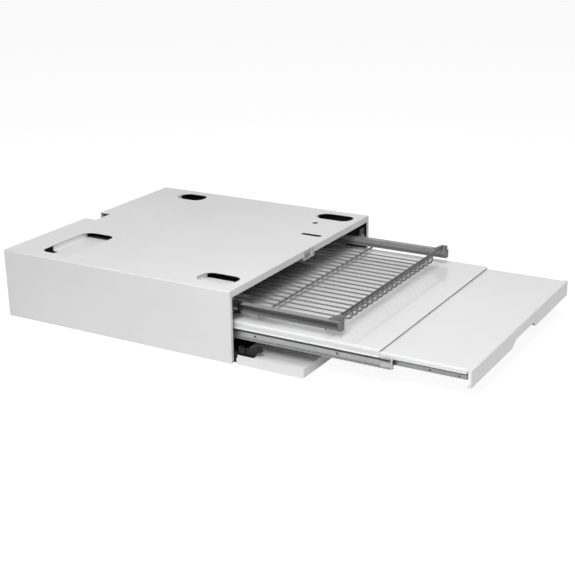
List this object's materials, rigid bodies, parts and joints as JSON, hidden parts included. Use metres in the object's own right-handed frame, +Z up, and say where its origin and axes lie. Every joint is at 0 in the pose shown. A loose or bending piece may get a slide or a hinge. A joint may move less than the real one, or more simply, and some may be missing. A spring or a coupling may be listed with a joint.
{
  "type": "pull-out laundry shelf",
  "caption": "Low white steel casing that stands between two stacked laundry machines, with a two-part pull-out shelf, a sliding wire drying rack and a fold-down front flap.",
  "frame": {"origin": "middle of the flat underside of the casing", "axes": "+Z up, the open front faces -Y, +X to the right seen from the front"},
  "size_m": [0.595, 1.0619, 0.15],
  "materials": {
    "casing_white": "satin powder coat",
    "shelf_white": "satin powder coat",
    "flap_white": "satin powder coat",
    "slide_steel": "zinc plated",
    "fastener_steel": "zinc plated",
    "rack_grey": "satin paint",
    "guide_black": "matt paint",
    "black_plastic": "matt moulded",
    "pale_plastic": "matt moulded",
    "grey_plastic": "matt moulded",
    "magnet_grey": "matt ferrite"
  },
  "bodies": {
    "casing": {"casing_shell": "casing_white", "base_plate": "casing_white", "back_panel": "casing_white", "back_rivets": "fastener_steel", "top_stiffener": "casing_white", "pocket_front_left": "casing_white", "pocket_front_right": "casing_white", "pocket_rear_left": "casing_white", "pocket_rear_right": "casing_white", "flap_catch": "pale_plastic", "catch_magnet": "magnet_grey", "catch_screws": "fastener_steel", "slide_brackets": "slide_steel", "slide_outer_left": "slide_steel", "slide_outer_right": "slide_steel", "slide_screws": "fastener_steel", "rack_guide_left": "guide_black", "rack_guide_right": "guide_black", "guide_brackets": "guide_black", "guide_front_plates": "guide_black", "guide_rivets": "fastener_steel", "hinge_brackets": "black_plastic", "hinge_screws": "fastener_steel"},
    "outer_cage": {"outer_cages": "slide_steel", "outer_balls": "fastener_steel"},
    "rear_shelf": {"rear_tray": "shelf_white", "slide_mid_outer_left": "slide_steel", "slide_mid_outer_right": "slide_steel", "slide_mid_inner_left": "slide_steel", "slide_mid_inner_right": "slide_steel", "slide_mid_rivets": "fastener_steel", "rear_tray_rivets": "fastener_steel", "slide_end_caps": "pale_plastic"},
    "inner_cage": {"inner_cages": "slide_steel", "inner_balls": "fastener_steel"},
    "front_shelf": {"front_tray": "shelf_white", "slide_inner_left": "slide_steel", "slide_inner_right": "slide_steel", "front_tray_rivets": "fastener_steel"},
    "rack": {"rack_rail_left": "rack_grey", "rack_rail_right": "rack_grey", "rack_end_caps": "grey_plastic", "rack_wires": "rack_grey", "rack_front_rod": "rack_grey", "rack_cross_rods": "rack_grey", "rod_plugs": "black_plastic"},
    "flap": {"flap_outer_skin": "flap_white", "flap_inner_skin": "flap_white", "flap_arms": "black_plastic", "flap_arm_screws": "fastener_steel", "hinge_pins": "fastener_steel", "hinge_springs": "fastener_steel", "strike_plate": "fastener_steel"}
  },
  "joints": [
    {"name": "rear_shelf_slide", "type": "slide", "parent": "casing", "child": "rear_shelf", "axis": [0, 1, 0], "range_m": [0, 0.345]},
    {"name": "front_shelf_slide", "type": "slide", "parent": "rear_shelf", "child": "front_shelf", "axis": [0, 1, 0], "range_m": [0, 0.145]},
    {"name": "outer_cage_slide", "type": "slide", "parent": "casing", "child": "outer_cage", "axis": [0, 1, 0], "range_m": [0, 0.1725]},
    {"name": "inner_cage_slide", "type": "slide", "parent": "rear_shelf", "child": "inner_cage", "axis": [0, 1, 0], "range_m": [0, 0.0725]},
    {"name": "rack_slide", "type": "slide", "parent": "casing", "child": "rack", "axis": [0, 1, 0], "range_m": [0, 0.22]},
    {"name": "flap_hinge", "type": "hinge", "parent": "casing", "child": "flap", "pos_m": [0, -0.30325, 0.00725], "axis": [-1, 0, 0], "range_deg": [0, 8.5]}
  ],
  "couplings": [
    {"joint": "outer_cage_slide", "follows": "rear_shelf_slide", "ratio": 0.5},
    {"joint": "inner_cage_slide", "follows": "front_shelf_slide", "ratio": 0.5}
  ]
}
